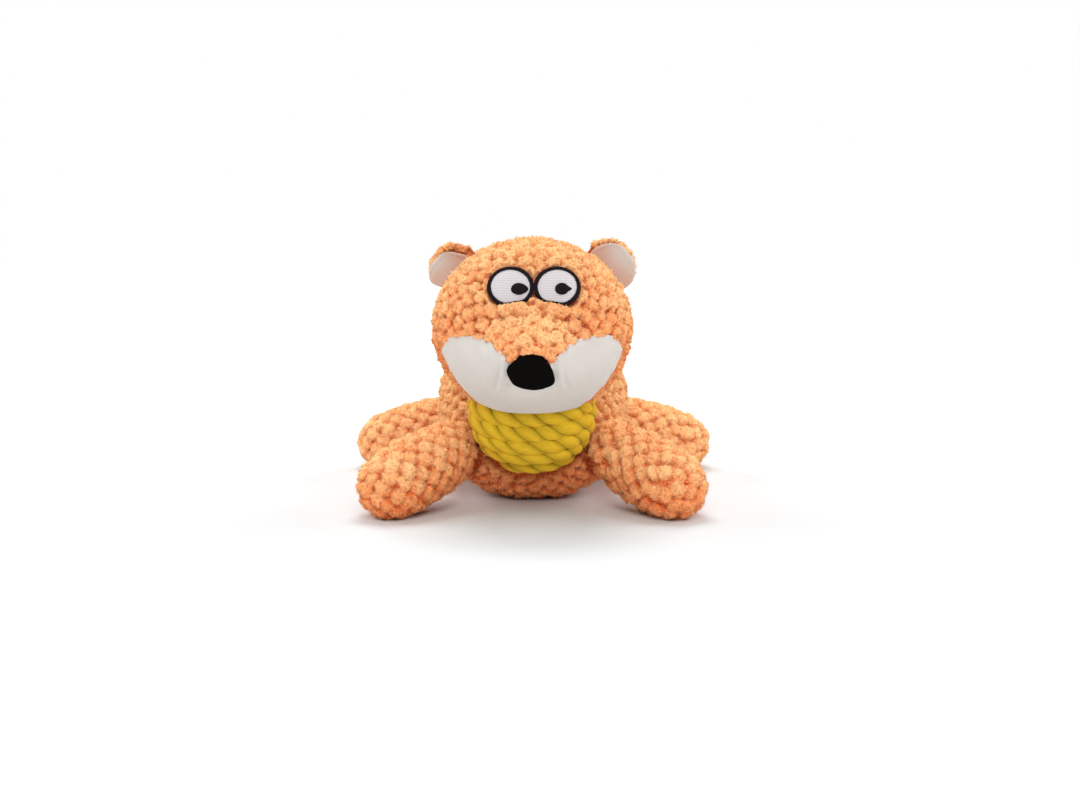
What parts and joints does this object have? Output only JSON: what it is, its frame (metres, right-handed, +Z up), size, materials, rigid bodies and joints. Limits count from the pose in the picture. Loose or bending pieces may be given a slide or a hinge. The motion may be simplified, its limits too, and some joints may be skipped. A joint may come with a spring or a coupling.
{
  "type": "plush rope dog toy",
  "caption": "Stuffed fox that lies on its belly: bumpy plush head, torso, legs and tail, a rope-wound neck between head and torso, and a squeaker inside.",
  "frame": {"origin": "on the floor under the middle of the bounding box", "axes": "+X to the toy's own left, +Y from the nose to the tail, +Z up"},
  "size_m": [0.2228, 0.2956, 0.146],
  "materials": {
    "orange_plush": "popcorn-knit plush, matte",
    "white_velour": "short-pile velour, matte",
    "black_velour": "short-pile velour, matte",
    "black_thread": "satin-stitch embroidery",
    "white_thread": "satin-stitch embroidery",
    "cotton_rope": "laid rope of three strands, matte",
    "neck_cloth": "plain woven cloth, matte",
    "fibre_filling": "loose polyester fibre",
    "soft_plastic": "soft moulded plastic"
  },
  "bodies": {
    "torso": {"torso_back_panel": "orange_plush", "torso_belly_panel": "orange_plush", "torso_filling": "fibre_filling", "squeaker_bladder": "soft_plastic", "squeaker_reed": "soft_plastic"},
    "neck": {"neck_cover": "neck_cloth", "neck_filling": "fibre_filling", "neck_rope": "cotton_rope"},
    "head": {"head_back_panel": "orange_plush", "head_face_panel": "orange_plush", "muzzle_panel": "white_velour", "head_filling": "fibre_filling", "nose": "black_velour", "eye_outline": "black_thread", "eye_white_left": "white_thread", "pupil_left": "black_thread", "eye_white_right": "white_thread", "pupil_right": "black_thread"},
    "ear_left": {"ear_left_back": "orange_plush", "ear_left_lining": "white_velour"},
    "front_leg_left": {"front_leg_left_cover": "orange_plush", "front_leg_left_filling": "fibre_filling"},
    "rear_leg_left": {"rear_leg_left_cover": "orange_plush", "rear_leg_left_filling": "fibre_filling"},
    "ear_right": {"ear_right_back": "orange_plush", "ear_right_lining": "white_velour"},
    "front_leg_right": {"front_leg_right_cover": "orange_plush", "front_leg_right_filling": "fibre_filling"},
    "rear_leg_right": {"rear_leg_right_cover": "orange_plush", "rear_leg_right_filling": "fibre_filling"},
    "tail": {"tail_cover": "orange_plush", "tail_tip": "white_velour", "tail_filling": "fibre_filling"}
  },
  "joints": [
    {"name": "neck_turn", "type": "hinge", "parent": "torso", "child": "neck", "pos_m": [0, -0.05955, 0.053], "axis": [0, -0.1908, 0.9816], "range_deg": [-25, 25], "stiffness_Nm_per_rad": 1.2},
    {"name": "head_nod", "type": "hinge", "parent": "neck", "child": "head", "pos_m": [0, -0.05955, 0.053], "axis": [1, 0, 0], "range_deg": [-15, 20], "stiffness_Nm_per_rad": 2.5},
    {"name": "ear_left_bend", "type": "hinge", "parent": "head", "child": "ear_left", "pos_m": [0.0401, -0.06355, 0.13045], "axis": [0.6561, 0, -0.7547], "range_deg": [-25, 25], "stiffness_Nm_per_rad": 0.03},
    {"name": "ear_right_bend", "type": "hinge", "parent": "head", "child": "ear_right", "pos_m": [-0.0401, -0.06355, 0.13045], "axis": [0.6561, 0, 0.7547], "range_deg": [-25, 25], "stiffness_Nm_per_rad": 0.03},
    {"name": "front_leg_left_swing", "type": "hinge", "parent": "torso", "child": "front_leg_left", "pos_m": [0.043, -0.04855, 0.03], "axis": [0, 0, 1], "range_deg": [-20, 20], "stiffness_Nm_per_rad": 0.5},
    {"name": "front_leg_right_swing", "type": "hinge", "parent": "torso", "child": "front_leg_right", "pos_m": [-0.043, -0.04855, 0.03], "axis": [0, 0, 1], "range_deg": [-20, 20], "stiffness_Nm_per_rad": 0.5},
    {"name": "rear_leg_left_swing", "type": "hinge", "parent": "torso", "child": "rear_leg_left", "pos_m": [0.048, 0.07045, 0.03], "axis": [0, 0, 1], "range_deg": [-8, 20], "stiffness_Nm_per_rad": 0.5},
    {"name": "rear_leg_right_swing", "type": "hinge", "parent": "torso", "child": "rear_leg_right", "pos_m": [-0.048, 0.07045, 0.03], "axis": [0, 0, 1], "range_deg": [-20, 8], "stiffness_Nm_per_rad": 0.5},
    {"name": "tail_wag", "type": "hinge", "parent": "torso", "child": "tail", "pos_m": [0, 0.10245, 0.046], "axis": [0, 0, 1], "range_deg": [-25, 25], "stiffness_Nm_per_rad": 0.3}
  ]
}
